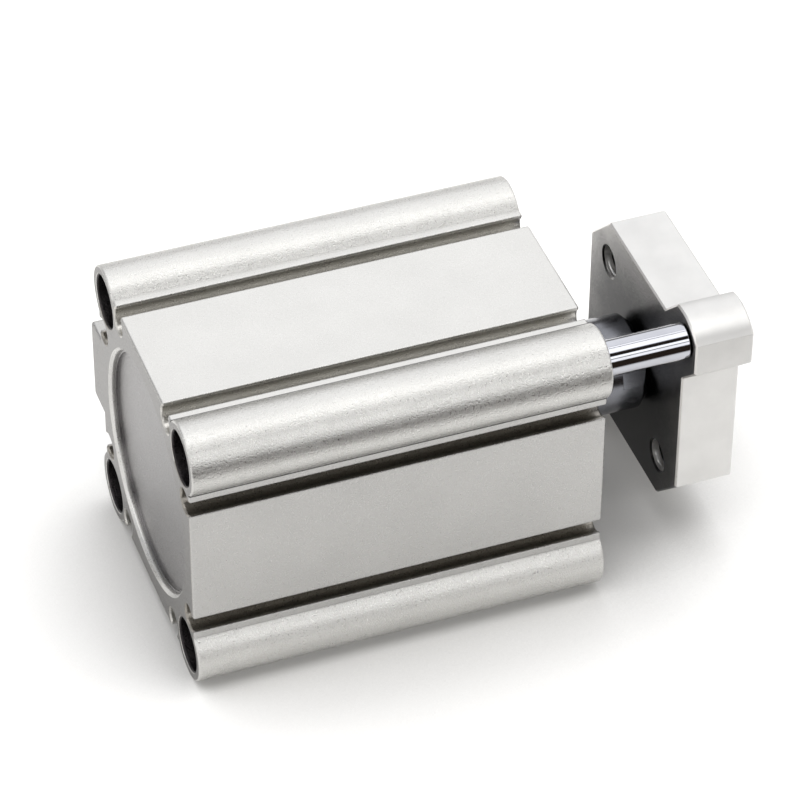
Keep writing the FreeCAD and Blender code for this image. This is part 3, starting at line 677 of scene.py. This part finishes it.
@dataclass
class RodAndPlate:
    """What slides: the piston and its rod, the guide rods and the end plate."""

    hole_offset_mm: float = 11.667  # tapped hole from the axis, along Y and along Z
    hole_radius_mm: float = 2.75
    hole_pitch_mm: float = 1.0
    hole_ridge_mm: float = 0.25
    thread_margin_mm: float = 0.9   # left without thread at each end of a hole

    def dress(self) -> None:
        """Give every moving piece its finish."""
        turned = TURNED_ALUMINIUM.material()
        chrome = HARD_CHROME.material()
        nickel = NICKEL_STEEL.material()
        urethane = URETHANE.material()
        plate = PLATE_ALUMINIUM.material()
        for node in ("piston", "magnet_holder"):
            dress(node, turned)
        dress("piston_rod", SATIN_CHROME.material())
        for node in ("guide_rod_upper", "guide_rod_lower"):
            dress(node, chrome)
        for node in ("plate_screw", "guide_rod_screw_upper", "guide_rod_screw_lower"):
            dress(node, nickel)
        for node in ("bumper_rod_side", "bumper_head_side"):
            dress(node, urethane)
        dress("magnet_ring", FERRITE.material())
        dress("piston_seal", NITRILE.material())
        dress("wear_ring", GUIDE_BAND.material())
        dress("end_plate", plate)
        self.add_plate_threads(plate)

    def add_plate_threads(self, material: bpy.types.Material) -> None:
        """Cut the look of a metric thread into the plate's two tapped holes.

        Args:
            material: the plate's finish.
        """
        rear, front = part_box("end_plate")
        thickness_mm = (front.x - rear.x) / MM
        for name, sign in (("upper", 1), ("lower", -1)):
            offset = sign * self.hole_offset_mm * MM
            thread = InternalThread(f"plate_thread_{name}", Vector((front.x, offset, offset)),
                                    Axis.PLUS_X, radius_mm=self.hole_radius_mm,
                                    pitch_mm=self.hole_pitch_mm,
                                    length_mm=thickness_mm - 2 * self.thread_margin_mm,
                                    height_mm=self.hole_ridge_mm, start_mm=self.thread_margin_mm)
            thread.build(material, Body.ROD_AND_PLATE, "plate_aluminium")


# ------------------------------------------------------------------ studio
@dataclass(frozen=True)
class SkyBand:
    """A strip of the surroundings that runs along X. Its angles are in degrees."""

    angle: float                    # of its middle, up from the -Y horizon
    half_width: float
    soft: float                     # over which each of its edges fades
    colour: str
    level: float = 1.0


@dataclass
class Studio:
    """Pale floor, a soft light, the surroundings that the metal shows, and the camera."""

    floor_colour: str = "#CFCECC"
    reflected_floor_dark: str = "#2E2620"
    floor_size: float = 8.0
    floor_glow: float = 0.54        # what the eye and the metal see on top of the lit floor
    floor_fade: tuple[float, float] = (-0.08, -0.125)       # Y beyond which the floor turns dark, to reflections only
    floor_shade: float = 0.05       # distance within which the part paints shadow into the glow
    floor_open: tuple[float, float] = (0.45, 0.93)          # how open it is, from full painted shadow to full glow
    light_azimuth: float = 20.0     # from +Y towards +X
    light_elevation: float = 42.0
    light_distance: float = 0.9
    light_side: float = 0.8
    light_watts: float = 1.6
    sky_colour: str = "#D5D6D9"
    bands: tuple[SkyBand, ...] = (
        SkyBand(88.0, 18.0, 4.0, "#FFFFFF", 2.2),
        SkyBand(98.0, 1.2, 0.8, "#4A4646"),
        SkyBand(56.0, 8.5, 2.0, "#2E2926"),
        SkyBand(39.0, 5.5, 1.5, "#FFFFFF", 2.3),
        SkyBand(30.0, 1.0, 0.6, "#2A2828"),
        SkyBand(20.0, 7.0, 1.5, "#FFFFFF", 1.9),
        SkyBand(0.0, 10.0, 2.0, "#352C26"),
        SkyBand(176.0, 8.0, 10.0, "#9C9A98"),
    )
    azimuth: float = 20.14          # the camera looks along +Y turned this far towards +X
    elevation: float = 41.15        # and this far down
    roll: float = 0.354
    distance_mm: float = 681.9
    aim_from_middle_mm: tuple[float, float, float] = (-2.85, 1.165, 0.31)
    lens_mm: float = 187.77
    clip_start: float = 0.01

    def build(self) -> None:
        """Make the floor, the surroundings, the light and the camera."""
        self.add_floor()
        self.add_sky()
        self.add_softbox()
        self.add_camera()
        bpy.context.scene.view_settings.view_transform = "Standard"

    def add_floor(self) -> None:
        """Lay the floor under the lowest corner of the part."""
        shape = bmesh.new()
        bmesh.ops.create_grid(shape, x_segments=1, y_segments=1, size=self.floor_size / 2)
        mesh = bpy.data.meshes.new("floor")
        shape.to_mesh(mesh)
        shape.free()
        floor = bpy.data.objects.new("floor", mesh)
        floor.location = (0.0, 0.0, CAD_BOX[0].z)
        bpy.context.scene.collection.objects.link(floor)
        material, tree = new_material("pale_paper")
        rays = add_node(tree, "ShaderNodeLightPath")
        mirrored = add_node(tree, "ShaderNodeMath", {0: rays.outputs["Is Camera Ray"],
                                                     1: rays.outputs["Is Glossy Ray"]},
                            operation="MAXIMUM")
        shown = add_node(tree, "ShaderNodeMath", {0: mirrored.outputs[0],
                                                  1: rays.outputs["Is Transmission Ray"]},
                         operation="MAXIMUM")
        place = add_node(tree, "ShaderNodeSeparateXYZ",
                         {0: add_node(tree, "ShaderNodeNewGeometry").outputs["Position"]})
        # Painted reflection: only glossy rays see the floor turn dark in front of the part
        fade = add_node(tree, "ShaderNodeMapRange",
                        {"Value": place.outputs["Y"], "From Min": self.floor_fade[0],
                         "From Max": self.floor_fade[1]}, interpolation_type="SMOOTHSTEP")
        dark_in_reflection = add_node(tree, "ShaderNodeMath", {0: fade.outputs["Result"],
                                                   1: rays.outputs["Is Glossy Ray"]},
                          operation="MULTIPLY")
        tone = add_node(tree, "ShaderNodeMix",
                        {0: dark_in_reflection.outputs[0], 6: linear(self.floor_colour),
                         7: linear(self.reflected_floor_dark)}, data_type="RGBA")
        paper = add_node(tree, "ShaderNodeBsdfDiffuse", {"Color": tone.outputs[2]})
        reach = add_node(tree, "ShaderNodeMapRange", {"Value": dark_in_reflection.outputs[0],
                                                      "To Min": self.floor_glow, "To Max": 0.0})
        # Painted shadow: the glow dims by ambient occlusion where the part stands close
        open_part = add_node(tree, "ShaderNodeAmbientOcclusion", {"Distance": self.floor_shade},
                             samples=8)
        shade = add_node(tree, "ShaderNodeMapRange",
                         {"Value": open_part.outputs["AO"], "From Min": self.floor_open[0],
                          "From Max": self.floor_open[1]})
        level = add_node(tree, "ShaderNodeMath",
                         {0: reach.outputs["Result"], 1: shade.outputs["Result"]},
                         operation="MULTIPLY")
        strength = add_node(tree, "ShaderNodeMath",
                            {0: level.outputs[0], 1: shown.outputs[0]}, operation="MULTIPLY")
        glow = add_node(tree, "ShaderNodeEmission", {"Strength": strength.outputs[0]})
        both = add_node(tree, "ShaderNodeAddShader", {0: paper.outputs[0], 1: glow.outputs[0]})
        add_node(tree, "ShaderNodeOutputMaterial", {"Surface": both.outputs[0]})
        mesh.materials.append(material)
        LOG.info("floor laid at %.4f m", floor.location.z)

    def add_sky(self) -> None:
        """Light the part from all round, with the strips that its polished rods show as lines."""
        world = bpy.data.worlds.new("surroundings")
        world.use_nodes = True
        tree = world.node_tree
        tree.nodes.clear()
        coords = add_node(tree, "ShaderNodeTexCoord")
        way = add_node(tree, "ShaderNodeSeparateXYZ", {0: coords.outputs["Generated"]})
        forward = add_node(tree, "ShaderNodeMath", {0: way.outputs["Y"], 1: -1.0},
                           operation="MULTIPLY")
        radians = add_node(tree, "ShaderNodeMath", {0: way.outputs["Z"], 1: forward.outputs[0]},
                           operation="ARCTAN2")
        angle = add_node(tree, "ShaderNodeMath", {0: radians.outputs[0]}, operation="DEGREES")
        colour: Any = linear(self.sky_colour)
        for band in self.bands:
            offset = add_node(tree, "ShaderNodeMath", {0: angle.outputs[0], 1: band.angle},
                              operation="SUBTRACT")
            away = add_node(tree, "ShaderNodeMath", {0: offset.outputs[0]}, operation="ABSOLUTE")
            share = add_node(tree, "ShaderNodeMapRange",
                             {"Value": away.outputs[0], "From Min": band.half_width,
                              "From Max": band.half_width + band.soft, "To Min": 1.0,
                              "To Max": 0.0},
                             interpolation_type="SMOOTHSTEP")
            tint = [part * band.level for part in linear(band.colour)[:3]] + [1.0]
            mixed = add_node(tree, "ShaderNodeMix",
                             {0: share.outputs["Result"], 6: colour, 7: tint}, data_type="RGBA")
            colour = mixed.outputs[2]
        seen = add_node(tree, "ShaderNodeMix",
                        {0: add_node(tree, "ShaderNodeLightPath").outputs["Is Camera Ray"],
                         6: colour, 7: (1.0, 1.0, 1.0, 1.0)}, data_type="RGBA")
        sky = add_node(tree, "ShaderNodeBackground", {"Color": seen.outputs[2]})
        add_node(tree, "ShaderNodeOutputWorld", {"Surface": sky.outputs[0]})
        bpy.context.scene.world = world
        LOG.info("surroundings made of %d strips", len(self.bands))

    def add_softbox(self) -> None:
        """Hang a square soft light that faces the part."""
        turn = math.radians(self.light_azimuth)
        rise = math.radians(self.light_elevation)
        away = Vector((math.sin(turn) * math.cos(rise), math.cos(turn) * math.cos(rise),
                       math.sin(rise)))
        light = bpy.data.lights.new("softbox_back", "AREA")
        light.shape = "SQUARE"
        light.size = self.light_side
        light.energy = self.light_watts
        lamp = bpy.data.objects.new("softbox_back", light)
        lamp.location = (CAD_BOX[0] + CAD_BOX[1]) / 2 + away * self.light_distance
        lamp.rotation_euler = away.to_track_quat("Z", "Y").to_euler()
        bpy.context.scene.collection.objects.link(lamp)
        LOG.info("softbox hung %.2f m away", self.light_distance)

    def add_camera(self) -> None:
        """Set up the camera behind and above the part's near side."""
        turn = math.radians(self.azimuth)
        rise = math.radians(self.elevation)
        forward = Vector((math.sin(turn) * math.cos(rise), math.cos(turn) * math.cos(rise),
                          -math.sin(rise)))
        middle = (CAD_BOX[0] + CAD_BOX[1]) / 2
        aim = middle + Vector(self.aim_from_middle_mm) * MM
        lens = bpy.data.cameras.new("camera")
        lens.lens = self.lens_mm
        lens.clip_start = self.clip_start
        camera = bpy.data.objects.new("camera", lens)
        roll = Matrix.Rotation(math.radians(self.roll), 3, "Z").to_quaternion()
        camera.rotation_euler = (forward.to_track_quat("-Z", "Y") @ roll).to_euler()
        camera.location = aim - forward * self.distance_mm * MM
        bpy.context.scene.collection.objects.link(camera)
        bpy.context.scene.camera = camera
        LOG.info("camera placed %.1f mm away", self.distance_mm)


def main() -> None:
    """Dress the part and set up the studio."""
    logging.basicConfig(level=logging.INFO, format="%(name)s: %(message)s")
    CylinderBody().dress()
    RodAndPlate().dress()
    Studio().build()
    LOG.info("sizes written")


if __name__ == "__main__":
    main()
